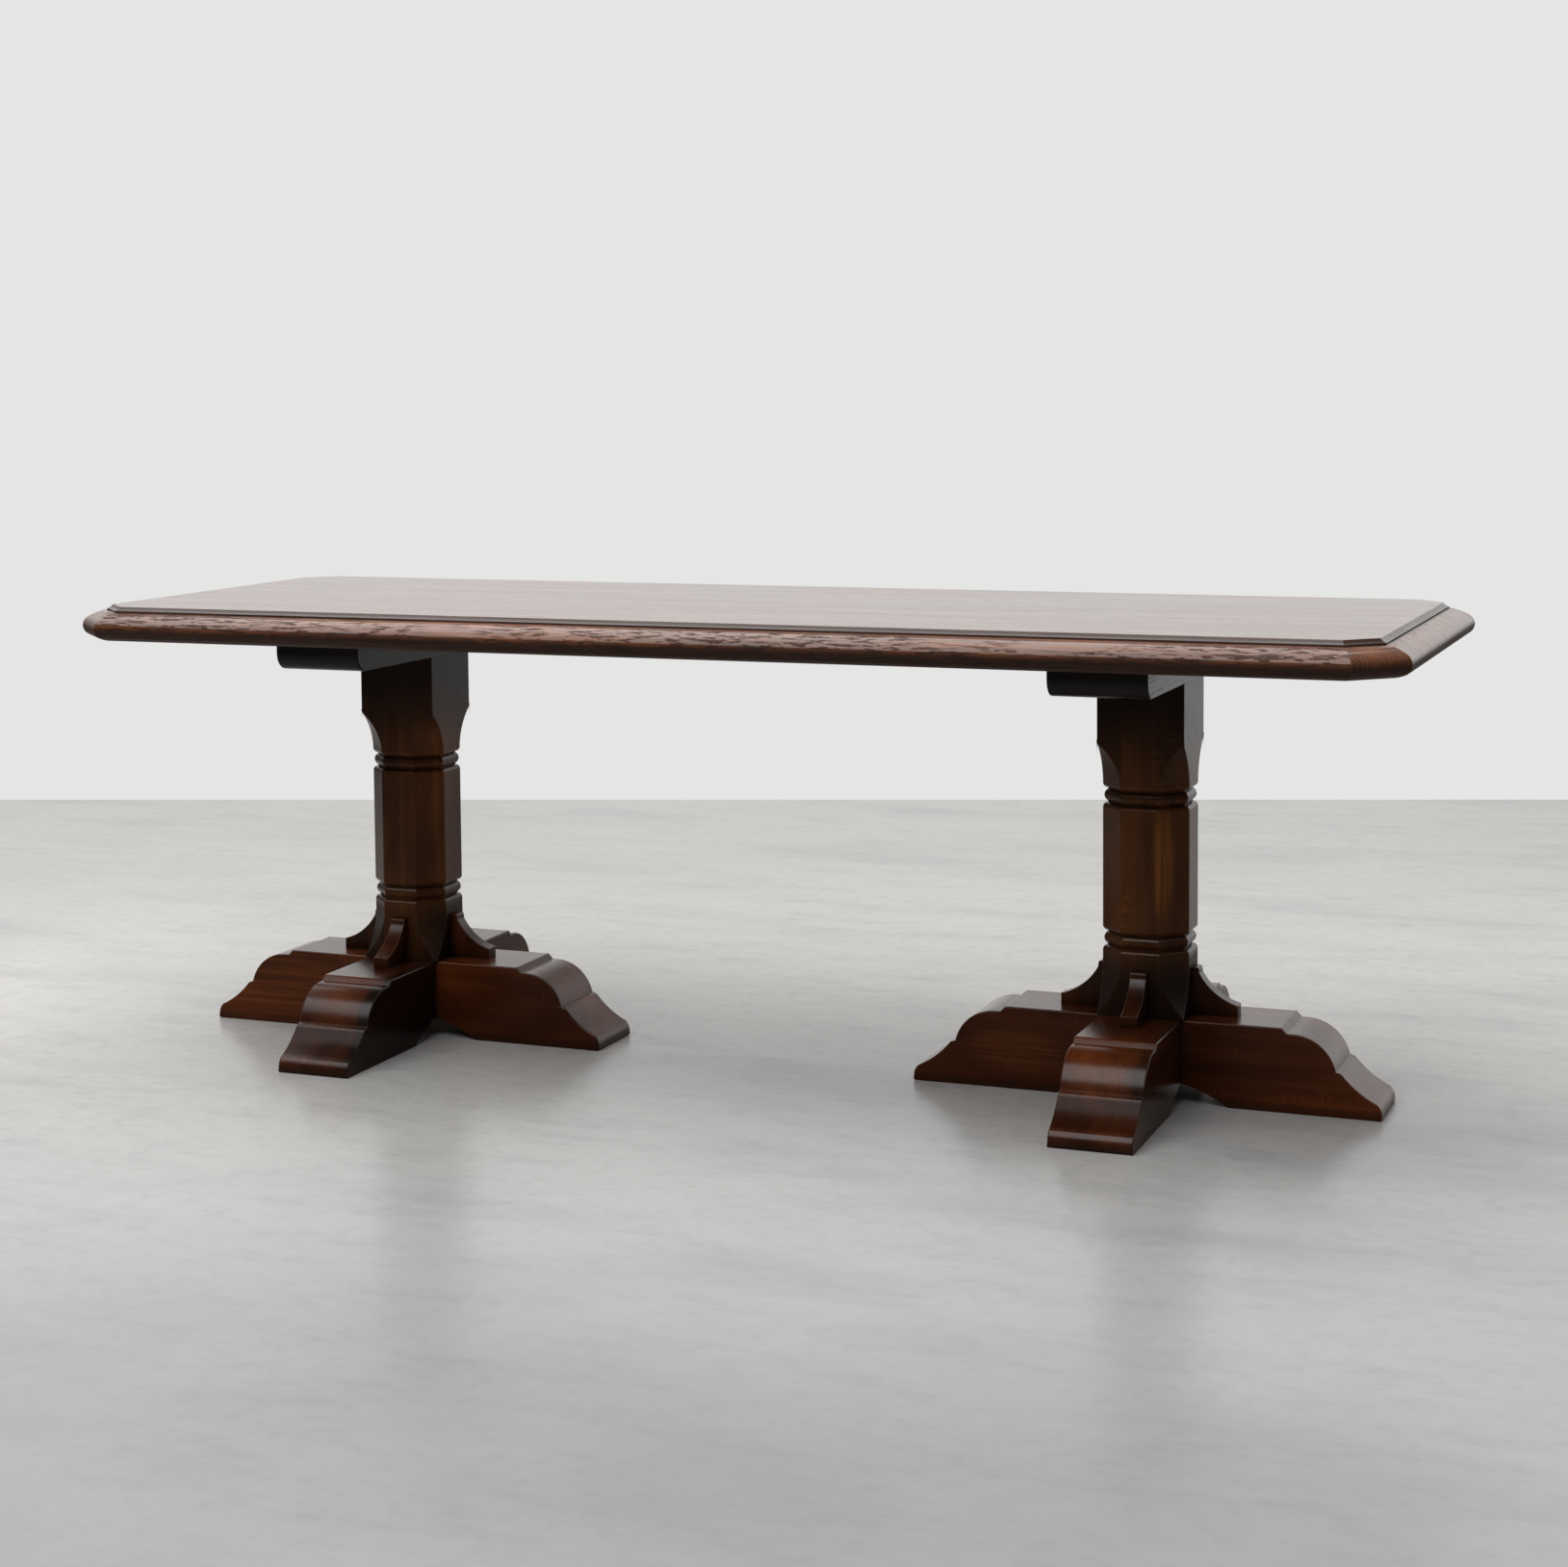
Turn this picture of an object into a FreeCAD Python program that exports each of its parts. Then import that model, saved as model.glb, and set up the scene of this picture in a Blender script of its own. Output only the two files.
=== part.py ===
import FreeCAD, Part
import math
import os
from types import SimpleNamespace

import Sketcher
from FreeCAD import Placement, Rotation, Vector

# Double pedestal dining table in solid oak: a moulded top of edge-glued boards, carried by two
# stop-chamfered posts on cross-lapped feet. Millimetres, +Z up, +X along the top.
# The origin is on the floor, midway between the two pedestals.

# Driving dimensions
SIZES = {
    # The table as a whole
    "table_length": 2180,
    "table_width": 800,
    "table_height": 750,
    "pedestal_spacing": 1287,
    # Top: boards, the moulded edge measured in from its nose, and the loose tongues between boards
    "top_thickness": 55,
    "corner_clip": 72,
    "edge_reach": 47,
    "bevel_run": 9,
    "bevel_drop": 6.5,
    "quirk_drop": 2,
    "shoulder_crown": 1.9,
    "nose_radius": 17,
    "nose_drop": 34.5,
    "under_run": 30,
    "tongue_thickness": 12,
    "tongue_width": 28,
    "tongue_end_margin": 110,
    # Bearers under the top, one across each post
    "bearer_length": 656,
    "bearer_width": 150,
    "bearer_height": 43.5,
    "bearer_end_radius": 27,
    "bearer_edge_round": 2.5,
    # Posts
    "post_width": 136,
    "post_chamfer": 37.5,
    "upper_stop_height": 490,
    "upper_stop_rise": 60,
    "stop_lip_rise": 10,
    "stop_lip_inset": 2.5,
    "lower_stop_land": 3,
    "lower_stop_rise": 74,
    "upper_bead_height": 468,
    "lower_bead_height": 244.5,
    "bead_thickness": 19,
    "bead_inset": 2,
    "groove_depth": 7.5,
    "groove_width": 2,
    "head_tenon_width": 70,
    "head_tenon_length": 36,
    "foot_tenon_width": 60,
    "foot_tenon_length": 70,
    "tenon_end_clearance": 2,
    # Sleepers, cross-lapped in pairs to make the feet
    "foot_width": 127,
    "foot_height": 130,
    "foot_reach": 368,
    "foot_shaped_run": 151,
    "foot_edge_round": 2.5,
    "sole_round": 4,
    "arch_half_span": 136,
    "arch_rise": 40,
    # Brackets between the posts and the arms of the feet
    "bracket_reach": 72,
    "bracket_height": 73,
    "bracket_thickness": 26,
    "bracket_lip": 12,
    "bracket_lip_height": 9,
    "bracket_lip_round": 5,
    "bracket_toe": 17,
    "bracket_crown": 8,
    "bracket_edge_round": 1.5,
    # Nails through the bracket lips
    "nail_diameter": 3.2,
    "nail_length": 40,
    "nail_recess": 1.5,
    "nail_point": 5,
    "nail_drop": 7,
    # Screws through the bearers into the top
    "screw_length": 74,
    "screw_diameter": 8,
    "screw_point": 8,
    "screw_head_diameter": 16,
    "screw_head_height": 5,
    "screw_slot_width": 2,
    "screw_slot_depth": 2.5,
    "screw_row_spacing": 80,
    "screw_recess": 12,
    "screw_clearance": 1,
    # How far a cutting profile runs past the wood
    "overrun": 20,
}

BOARD_COUNT = 6
SCREWED_BOARDS = (2, 5)
SIDES = {"left": -1, "right": 1}

# Where the four brackets stand about each post
BRACKET_AZIMUTHS = {
    "left": {"inner": 0, "back": 90, "outer": 180, "front": 270},
    "right": {"outer": 0, "back": 90, "inner": 180, "front": 270},
}

# Half of a square's diagonal
DIAGONAL_SHARE = math.sqrt(0.5)

# Middle of the hollow bevel round the field: shares of its run and of its drop
BEVEL_HOLLOW_SHARES = (0.42, 0.65)

# Where the round nose of the moulded edge begins and ends: shares of its radius, out and up
SHOULDER_SHARES = (math.sin(math.radians(34)), math.cos(math.radians(34)))
UNDERTURN_SHARES = (math.cos(math.radians(55)), -math.sin(math.radians(55)))

# How far the hollow under the nose sags at its middle: a share of its fall, less than a quarter
UNDER_CROWN_SHARE = 0.18

# Middle of a chamfer stop's hollow: how far it has moved out when it is half way along
STOP_SWEEP_SHARE = 0.27

# Middle of the dome of a screw's head: shares of its radius and of its height
SCREW_DOME_SHARES = (0.59, 0.73)

# Shaped end of a sleeper: shares of the shaped run from its inner end, and of the foot's height.
# Each row is a corner, with the middle of the curve that leads to it where it isn't straight.
FOOT_END_SHARES = (
    ((0.00, 1.000), None),
    ((0.053, 0.935), None),
    ((0.10, 0.935), None),
    ((0.543, 0.531), (0.395, 0.815)),
    ((0.596, 0.515), None),
    ((0.947, 0.192), (0.755, 0.330)),
    ((1.00, 0.069), (0.985, 0.139)),
)


class Size:
    """A length that knows its value and the sheet formula behind it."""

    def __init__(self, formula, value):
        self.formula = formula
        self.value = value

    def joined(self, sign, other, value):
        return Size(f"({self.formula} {sign} {other.formula})", value)

    def __add__(self, other):
        other = as_size(other)
        return self.joined("+", other, self.value + other.value)

    def __sub__(self, other):
        other = as_size(other)
        return self.joined("-", other, self.value - other.value)

    def __mul__(self, other):
        other = as_size(other)
        return self.joined("*", other, self.value * other.value)

    def __truediv__(self, other):
        other = as_size(other)
        return self.joined("/", other, self.value / other.value)

    def __neg__(self):
        return Size(f"(-{self.formula})", -self.value)


def as_size(number):
    return number if isinstance(number, Size) else Size(repr(float(number)), float(number))


def middle(first, last):
    return (first + last) / 2


doc = FreeCAD.newDocument("pedestal_table")
sheet = doc.addObject("Spreadsheet::Sheet", "Sizes")
for row, (alias, number) in enumerate(SIZES.items(), start=1):
    sheet.set(f"A{row}", alias)
    sheet.set(f"B{row}", str(number))
    sheet.setAlias(f"B{row}", alias)
doc.recompute()

size = SimpleNamespace(**{alias: Size(f"Sizes.{alias}", number) for alias, number in SIZES.items()})
zero = as_size(0)

# Heights and places that several pieces share
top_underside = size.table_height - size.top_thickness
bearer_underside = top_underside - size.bearer_height
post_half = size.post_width / 2
post_corner = post_half / DIAGONAL_SHARE
facet_reach = (size.post_width - size.post_chamfer) * DIAGONAL_SHARE
foot_half = size.foot_width / 2
lap_height = middle(size.foot_height, size.arch_rise)
board_width = size.table_width / BOARD_COUNT
nail_height = size.foot_height + size.bracket_height - size.nail_drop
nail_head_reach = post_half + size.bracket_lip - size.nail_recess
screw_seat_height = bearer_underside + size.screw_recess

nodes = {}


def bind(thing, name, length):
    """Tie a property of a document object to its sheet formula."""
    setattr(thing, name, length.value)
    thing.setExpression(name, length.formula)


def new_body(name):
    return doc.addObject("PartDesign::Body", name)


def origin_plane(body, role):
    return next(plane for plane in body.Origin.OriginFeatures if plane.Role == role)


def attach(sketch, body, role, azimuth, offset):
    """Put a sketch on a plane of its body, turned about the upright and moved along its normal."""
    sketch.AttachmentSupport = [(origin_plane(body, role), "")]
    sketch.MapMode = "FlatFace"
    turn = Rotation(Vector(0, 1, 0), azimuth)
    sketch.AttachmentOffset = Placement(turn.multVec(Vector(0, 0, offset.value)), turn)


def level_sketch(body, name, height):
    """A sketch in plan, at a height."""
    sketch = body.newObject("Sketcher::SketchObject", name)
    attach(sketch, body, "XY_Plane", 0, height)
    sketch.setExpression("AttachmentOffset.Base.z", height.formula)
    return sketch


def radial_sketch(body, name, azimuth):
    """A sketch on the upright plane through the axis that runs outwards at an azimuth."""
    sketch = body.newObject("Sketcher::SketchObject", name)
    attach(sketch, body, "XZ_Plane", azimuth, zero)
    return sketch


def facing_sketch(body, name, azimuth, reach):
    """A sketch on the upright plane that faces outwards at an azimuth, at a reach from the axis."""
    sketch = body.newObject("Sketcher::SketchObject", name)
    attach(sketch, body, "YZ_Plane", azimuth, reach)
    turn = math.radians(azimuth)
    sketch.setExpression("AttachmentOffset.Base.x", (reach * math.sin(turn)).formula)
    sketch.setExpression("AttachmentOffset.Base.z", (reach * math.cos(turn)).formula)
    return sketch


def hold_point(sketch, geometry, position, across, up):
    """Hold one point of a sketch at its place, measured from the sketch's origin."""
    for kind, axis, length in (("DistanceX", -2, across), ("DistanceY", -1, up)):
        if length.value == 0:
            sketch.addConstraint(Sketcher.Constraint("PointOnObject", geometry, position, axis))
            continue
        number = sketch.addConstraint(
            Sketcher.Constraint(kind, -1, 1, geometry, position, length.value))
        sketch.setExpression(f"Constraints[{number}]", length.formula)


def draw_outline(sketch, corners):
    """Close an outline through corners, each given as a place and the middle of the curve to it."""
    spots = [Vector(across.value, up.value, 0) for (across, up), _ in corners]
    ends = []
    for number, (_, curve) in enumerate(corners):
        first, last = spots[number - 1], spots[number]
        if curve is None:
            line = sketch.addGeometry(Part.LineSegment(first, last))
            ends.append((line, 1, 2))
            continue
        through = Vector(curve[0].value, curve[1].value, 0)
        arc = sketch.addGeometry(Part.Arc(first, through, last))
        starts_here = sketch.getPoint(arc, 1).isEqual(first, math.dist(first, last) / 2)
        ends.append((arc, 1, 2) if starts_here else (arc, 2, 1))
        mark = sketch.addGeometry(Part.Point(through), True)
        hold_point(sketch, mark, 1, *curve)
        sketch.addConstraint(Sketcher.Constraint("PointOnObject", mark, 1, arc))
    for number, (piece, start, finish) in enumerate(ends):
        before, _, before_finish = ends[number - 1]
        sketch.addConstraint(Sketcher.Constraint("Coincident", before, before_finish, piece, start))
        hold_point(sketch, piece, finish, *corners[number][0])


def draw_rectangle(sketch, left, right, low, high):
    corners = [(left, low), (right, low), (right, high), (left, high)]
    draw_outline(sketch, [(corner, None) for corner in corners])


def draw_square(sketch, width):
    draw_rectangle(sketch, -width / 2, width / 2, -width / 2, width / 2)


def draw_circle(sketch, across, up, diameter):
    circle = sketch.addGeometry(
        Part.Circle(Vector(across.value, up.value, 0), Vector(0, 0, 1), diameter.value / 2))
    hold_point(sketch, circle, 3, across, up)
    number = sketch.addConstraint(Sketcher.Constraint("Diameter", circle, diameter.value))
    sketch.setExpression(f"Constraints[{number}]", diameter.formula)


def pad(body, sketch, length, symmetric=False):
    feature = body.newObject("PartDesign::Pad", f"{sketch.Name}_pad")
    feature.Profile = sketch
    feature.SideType = "Symmetric" if symmetric else "One side"
    bind(feature, "Length", length)
    return feature


def pocket(body, sketch, length=None, symmetric=False, upwards=False):
    """Cut a sketch into its body: to a depth, or right through where no depth is given."""
    feature = body.newObject("PartDesign::Pocket", f"{sketch.Name}_cut")
    feature.Profile = sketch
    feature.SideType = "Symmetric" if symmetric else "One side"
    feature.Reversed = upwards
    if length is None:
        feature.Type = "ThroughAll"
    else:
        bind(feature, "Length", length)
    return feature


def repeat_round(body, feature, count):
    """Repeat a cut evenly about the upright axis of its body."""
    pattern = body.newObject("PartDesign::PolarPattern", f"{feature.Name}_round")
    pattern.Originals = [feature]
    pattern.Axis = (origin_plane(body, "Z_Axis"), [""])
    pattern.Angle = 360
    pattern.Occurrences = count
    body.Tip = pattern


def round_edges(body, radius, chosen):
    """Round the edges of a body that a test picks by their middle points."""
    doc.recompute()
    names = []
    for number, edge in enumerate(body.Shape.Edges, start=1):
        spot = edge.valueAt(middle(edge.FirstParameter, edge.LastParameter))
        if chosen(spot):
            names.append(f"Edge{number}")
    sharp = body.Tip
    feature = body.newObject("PartDesign::Fillet", f"{body.Name}_rounds")
    feature.Base = (sharp, names)
    bind(feature, "Radius", radius)
    body.Tip = feature


def stand_at(body, side):
    """Move a pedestal piece out to its own side."""
    body.setExpression("Placement.Base.x", (size.pedestal_spacing / 2 * SIDES[side]).formula)


def keep(name, thing):
    """Name a finished sub-part, which is also the name of its file."""
    thing.Label = name
    nodes[name] = thing
    return thing


# Top

def edge_corners(nose):
    """The wood that the moulding plane takes off, for an edge whose nose is at a reach."""
    field = nose - size.edge_reach
    quirk = field + size.bevel_run
    bevel_foot = size.table_height - size.bevel_drop
    quirk_foot = bevel_foot - size.quirk_drop
    nose_centre = (nose - size.nose_radius, size.table_height - size.nose_drop)
    shoulder, underturn = [
        (nose_centre[0] + size.nose_radius * out, nose_centre[1] + size.nose_radius * up)
        for out, up in (SHOULDER_SHARES, UNDERTURN_SHARES)]
    flat = (nose - size.under_run, top_underside)
    across_share, down_share = BEVEL_HOLLOW_SHARES
    bevel_curve = (field + size.bevel_run * across_share, size.table_height - size.bevel_drop * down_share)
    shoulder_curve = (
        middle(quirk, shoulder[0]), middle(quirk_foot, shoulder[1]) + size.shoulder_crown)
    under_crown = (underturn[1] - top_underside) * UNDER_CROWN_SHARE
    under_curve = (middle(underturn[0], flat[0]), middle(underturn[1], flat[1]) - under_crown)
    outside = nose + size.corner_clip
    above = size.table_height + size.overrun
    below = top_underside - size.overrun
    return [
        ((field, size.table_height), None),
        ((quirk, bevel_foot), bevel_curve),
        ((quirk, quirk_foot), None),
        (shoulder, shoulder_curve),
        (underturn, (nose, nose_centre[1])),
        (flat, under_curve),
        ((flat[0], below), None),
        ((outside, below), None),
        ((outside, above), None),
        ((field, above), None),
    ]


def moulded_slab():
    """The whole top before it is parted into boards."""
    body = new_body("moulded_slab")
    plan = level_sketch(body, "slab_plan", top_underside)
    half_length = size.table_length / 2
    half_width = size.table_width / 2
    draw_rectangle(plan, -half_length, half_length, -half_width, half_width)
    pad(body, plan, size.top_thickness)
    clip_reach = (half_length + half_width - size.corner_clip) * DIAGONAL_SHARE
    edges = {0: half_length, 90: half_width, 45: clip_reach, 135: clip_reach}
    for azimuth, nose in edges.items():
        sketch = radial_sketch(body, f"edge_{azimuth}", azimuth)
        draw_outline(sketch, edge_corners(nose))
        repeat_round(body, pocket(body, sketch, symmetric=True), 2)
    return body


def board_seam(number):
    """Where the joint behind a board lies, counted from the front."""
    return board_width * number - size.table_width / 2


def box(name, corner, spans):
    block = doc.addObject("Part::Box", name)
    for side, span in zip(("Length", "Width", "Height"), spans):
        bind(block, side, span)
    for axis, place in zip("xyz", corner):
        block.setExpression(f"Placement.Base.{axis}", place.formula)
    return block


def loose_tongue(number):
    length = size.table_length - size.tongue_end_margin * 2
    height = top_underside + (size.top_thickness - size.tongue_thickness) / 2
    corner = (-length / 2, board_seam(number) - size.tongue_width / 2, height)
    return box(f"tongue_{number}", corner, (length, size.tongue_width, size.tongue_thickness))


def top_board(number, slab, let_in):
    """One board of the top, with grooves for its tongues and holes for its screws."""
    corner = (-size.table_length / 2, board_seam(number - 1), top_underside)
    strip = box(f"strip_{number}", corner, (size.table_length, board_width, size.top_thickness))
    board = doc.addObject("Part::Common", f"sawn_board_{number}")
    board.Base = slab
    board.Tool = strip
    grooved = doc.addObject("Part::Cut", f"board_{number}")
    grooved.Base = board
    grooved.Tool = let_in
    return grooved


# Pedestals

def bearer(side):
    body = new_body(f"bearer_{side}")
    half = size.bearer_length / 2
    round_start = half - size.bearer_end_radius
    round_top = bearer_underside + size.bearer_end_radius
    bulge = size.bearer_end_radius * (1 - DIAGONAL_SHARE)
    profile = radial_sketch(body, f"bearer_{side}_profile", 90)
    draw_outline(profile, [
        ((-half, round_top), None),
        ((-round_start, bearer_underside), (-(half - bulge), bearer_underside + bulge)),
        ((round_start, bearer_underside), None),
        ((half, round_top), (half - bulge, bearer_underside + bulge)),
        ((half, top_underside), None),
        ((-half, top_underside), None),
    ])
    pad(body, profile, size.bearer_width, symmetric=True)
    flank = size.bearer_width.value / 2

    def on_flank(spot):
        on_seat = math.isclose(spot.z, top_underside.value)
        return math.isclose(abs(spot.x), flank) and not on_seat

    round_edges(body, size.bearer_edge_round, on_flank)
    mortise = level_sketch(body, f"bearer_{side}_mortise", bearer_underside)
    draw_square(mortise, size.head_tenon_width)
    pocket(body, mortise, size.head_tenon_length + size.tenon_end_clearance, upwards=True)
    wells = level_sketch(body, f"bearer_{side}_wells", bearer_underside)
    bores = level_sketch(body, f"bearer_{side}_bores", bearer_underside)
    for across, along in screw_places():
        draw_circle(wells, across, along, size.screw_head_diameter + size.screw_clearance * 2)
        draw_circle(bores, across, along, size.screw_diameter + size.screw_clearance)
    pocket(body, wells, size.screw_recess, upwards=True)
    pocket(body, bores, upwards=True)
    stand_at(body, side)
    return body


def bead_corners(face, centre):
    """A bead between two rounded shoulders, cut into a face at a reach from the axis."""
    floor = face - size.groove_depth
    bead_half = size.bead_thickness / 2
    bulge = size.groove_depth * (1 - DIAGONAL_SHARE)
    bead_low, bead_high = centre - bead_half, centre + bead_half
    groove_low, groove_high = bead_low - size.groove_width, bead_high + size.groove_width
    return [
        ((face, groove_low - size.groove_depth), None),
        ((floor, groove_low), (face - bulge, groove_low - bulge)),
        ((floor, bead_low), None),
        ((floor, bead_high), (face - size.bead_inset, centre)),
        ((floor, groove_high), None),
        ((face, groove_high + size.groove_depth), (face - bulge, groove_high + bulge)),
    ]


def hollow(low, high, share_across, share_up):
    """A point on the hollow sweep between two ends of a chamfer's stop."""
    return (low[0] + (high[0] - low[0]) * share_across, low[1] + (high[1] - low[1]) * share_up)


def facet_corners():
    """The chamfer on one corner of a post: stopped at both ends and crossed by the two beads."""
    outside = post_corner + size.overrun
    foot = (post_corner, size.foot_height + size.lower_stop_land)
    foot_end = (facet_reach, foot[1] + size.lower_stop_rise)
    head_start = (facet_reach, size.upper_stop_height)
    head = (post_corner - size.stop_lip_inset, head_start[1] + size.upper_stop_rise)
    head_tip = (post_corner, head[1] + size.stop_lip_rise)
    lip_bulge = (post_corner - size.stop_lip_inset / 4, middle(head[1], head_tip[1]))
    return [
        (foot, None),
        (foot_end, hollow(foot_end, foot, STOP_SWEEP_SHARE, 1 / 2)),
        *bead_corners(facet_reach, size.lower_bead_height),
        *bead_corners(facet_reach, size.upper_bead_height),
        (head_start, None),
        (head, hollow(head_start, head, STOP_SWEEP_SHARE, 1 / 2)),
        (head_tip, lip_bulge),
        ((outside, head_tip[1]), None),
        ((outside, foot[1]), None),
    ]


def post(side):
    body = new_body(f"post_{side}")
    shaft = level_sketch(body, f"post_{side}_square", size.foot_height)
    draw_square(shaft, size.post_width)
    pad(body, shaft, bearer_underside - size.foot_height)
    foot_tenon = level_sketch(body, f"post_{side}_foot_tenon", size.foot_height - size.foot_tenon_length)
    draw_square(foot_tenon, size.foot_tenon_width)
    pad(body, foot_tenon, size.foot_tenon_length)
    head_tenon = level_sketch(body, f"post_{side}_head_tenon", bearer_underside)
    draw_square(head_tenon, size.head_tenon_width)
    pad(body, head_tenon, size.head_tenon_length)
    for bead, height in (("upper", size.upper_bead_height), ("lower", size.lower_bead_height)):
        flat = radial_sketch(body, f"post_{side}_{bead}_bead", 0)
        cut = bead_corners(post_half, height)
        outside = post_half + size.overrun
        draw_outline(flat, [*cut, ((outside, cut[-1][0][1]), None), ((outside, cut[0][0][1]), None)])
        repeat_round(body, pocket(body, flat, symmetric=True), 4)
    facet = radial_sketch(body, f"post_{side}_facet", 45)
    draw_outline(facet, facet_corners())
    repeat_round(body, pocket(body, facet, symmetric=True), 4)
    hole = facing_sketch(body, f"post_{side}_nail", 0, post_half)
    draw_circle(hole, zero, nail_height, size.nail_diameter)
    depth = size.nail_length - size.bracket_lip + size.nail_recess
    repeat_round(body, pocket(body, hole, depth), 4)
    stand_at(body, side)
    return body


def foot_corners():
    """Side view of a sleeper: arched underneath, with a moulded end on each arm."""
    inner = size.foot_reach - size.foot_shaped_run
    bulge = size.sole_round * (1 - DIAGONAL_SHARE)
    sole_end = size.foot_reach - size.sole_round

    def at(shares):
        return (inner + size.foot_shaped_run * shares[0], size.foot_height * shares[1])

    down = [(at(corner), curve and at(curve)) for corner, curve in FOOT_END_SHARES]
    down.append(((size.foot_reach, size.sole_round), None))
    down.append(((sole_end, zero), (size.foot_reach - bulge, bulge)))
    down.append(((size.arch_half_span, zero), None))
    up = []
    for number in reversed(range(len(down))):
        (across, height), _ = down[number]
        curve = down[number + 1][1] if number + 1 < len(down) else (zero, size.arch_rise)
        up.append(((-across, height), curve and (-curve[0], curve[1])))
    return down + up


def sleeper(name, side, azimuth, lap_low, lap_high, mortise_height, mortise_depth):
    """One beam of a cross foot, halved where the other beam crosses it, with its part of the mortise."""
    body = new_body(f"{name}_{side}")
    profile = radial_sketch(body, f"{name}_{side}_profile", azimuth)
    draw_outline(profile, foot_corners())
    pad(body, profile, size.foot_width, symmetric=True)
    flank = foot_half.value
    ovolo_foot = (size.foot_height * FOOT_END_SHARES[3][0][1]).value

    def on_flank(spot):
        across = spot.y if azimuth == 0 else spot.x
        return math.isclose(abs(across), flank) and spot.z > ovolo_foot

    round_edges(body, size.foot_edge_round, on_flank)
    lap = radial_sketch(body, f"{name}_{side}_lap", azimuth)
    draw_rectangle(lap, -foot_half, foot_half, lap_low, lap_high)
    pocket(body, lap, symmetric=True)
    mortise = level_sketch(body, f"{name}_{side}_mortise", mortise_height)
    draw_square(mortise, size.foot_tenon_width)
    pocket(body, mortise, mortise_depth)
    stand_at(body, side)
    return body


def bracket(side, place):
    """A coved bracket that stands on an arm of the foot, against a face of the post."""
    azimuth = BRACKET_AZIMUTHS[side][place]
    body = new_body(f"bracket_{side}_{place}")
    toe_end = post_half + size.bracket_reach
    lip_face = post_half + size.bracket_lip
    toe_top = size.foot_height + size.bracket_toe
    head = size.foot_height + size.bracket_height
    lip_foot = head - size.bracket_lip_height
    bulge = size.bracket_lip_round * (1 - DIAGONAL_SHARE)
    crown = size.bracket_crown * DIAGONAL_SHARE
    cove = (middle(lip_face, toe_end) - crown, middle(lip_foot, toe_top) - crown)
    profile = radial_sketch(body, f"bracket_{side}_{place}_profile", azimuth)
    draw_outline(profile, [
        ((post_half, size.foot_height), None),
        ((toe_end, size.foot_height), None),
        ((toe_end, toe_top), None),
        ((lip_face, lip_foot), cove),
        ((lip_face, head - size.bracket_lip_round), None),
        ((lip_face - size.bracket_lip_round, head), (lip_face - bulge, head - bulge)),
        ((post_half, head), None),
    ])
    pad(body, profile, size.bracket_thickness, symmetric=True)
    turn = math.radians(azimuth)
    flank = size.bracket_thickness.value / 2

    def on_flank(spot):
        out = spot.x * math.cos(turn) + spot.y * math.sin(turn)
        across = spot.y * math.cos(turn) - spot.x * math.sin(turn)
        on_cove = out > lip_face.value + size.bracket_edge_round.value and spot.z > toe_top.value
        return math.isclose(abs(across), flank) and on_cove

    round_edges(body, size.bracket_edge_round, on_flank)
    hole = facing_sketch(body, f"bracket_{side}_{place}_nail", azimuth, lip_face)
    draw_circle(hole, zero, nail_height, size.nail_diameter)
    pocket(body, hole, size.bracket_lip)
    stand_at(body, side)
    return body


# Fasteners

def turned(name, corners):
    """A round piece about the upright axis."""
    body = new_body(name)
    profile = radial_sketch(body, f"{name}_profile", 0)
    draw_outline(profile, corners)
    feature = body.newObject("PartDesign::Revolution", f"{name}_turned")
    feature.Profile = profile
    feature.ReferenceAxis = (origin_plane(body, "Z_Axis"), [""])
    feature.Angle = 360
    return body


def nail():
    """A headless nail, point down, with its head end at the origin."""
    radius = size.nail_diameter / 2
    return turned("nail", [
        ((zero, zero), None),
        ((zero, -size.nail_length), None),
        ((radius, size.nail_point - size.nail_length), None),
        ((radius, zero), None),
    ])


def screw():
    """A round-headed wood screw, point up, with the seat of its head at the origin."""
    radius = size.screw_diameter / 2
    head_radius = size.screw_head_diameter / 2
    out_share, down_share = SCREW_DOME_SHARES
    body = turned("screw", [
        ((zero, -size.screw_head_height), None),
        ((head_radius, zero), (head_radius * out_share, -size.screw_head_height * down_share)),
        ((radius, zero), None),
        ((radius, size.screw_length - size.screw_point), None),
        ((zero, size.screw_length), None),
    ])
    slot = radial_sketch(body, "screw_slot", 0)
    slot_half = size.screw_slot_width / 2
    slot_floor = size.screw_slot_depth - size.screw_head_height
    draw_rectangle(slot, -slot_half, slot_half, -size.screw_head_height - size.overrun, slot_floor)
    pocket(body, slot, symmetric=True)
    return body


def screw_places():
    """Where the screws pass a bearer: two abreast at the middle of each screwed board."""
    for number in SCREWED_BOARDS:
        for sign in (-1, 1):
            yield size.screw_row_spacing / 2 * sign, board_seam(number) - board_width / 2


def group(name, pattern, placements):
    """Copies of one fastener, each a solid of its own."""
    feature = doc.addObject("Part::Feature", name)
    solids = []
    for placement in placements:
        copy = pattern.Shape.Solids[0].copy()
        copy.Placement = placement.multiply(copy.Placement)
        solids.append(copy)
    feature.Shape = Part.makeCompound(solids)
    return feature


def nail_placements():
    for side, sign in SIDES.items():
        centre = Vector(size.pedestal_spacing.value / 2 * sign, 0, nail_height.value)
        for azimuth in BRACKET_AZIMUTHS[side].values():
            turn = Rotation(Vector(0, 0, 1), azimuth).multiply(Rotation(Vector(0, 1, 0), 90))
            yield Placement(centre + turn.multVec(Vector(0, 0, nail_head_reach.value)), turn)


def screw_placements():
    for sign in SIDES.values():
        for across, along in screw_places():
            centre = size.pedestal_spacing.value / 2 * sign
            seat = Vector(centre + across.value, along.value, screw_seat_height.value)
            yield Placement(seat, Rotation())


# Assembly

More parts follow.
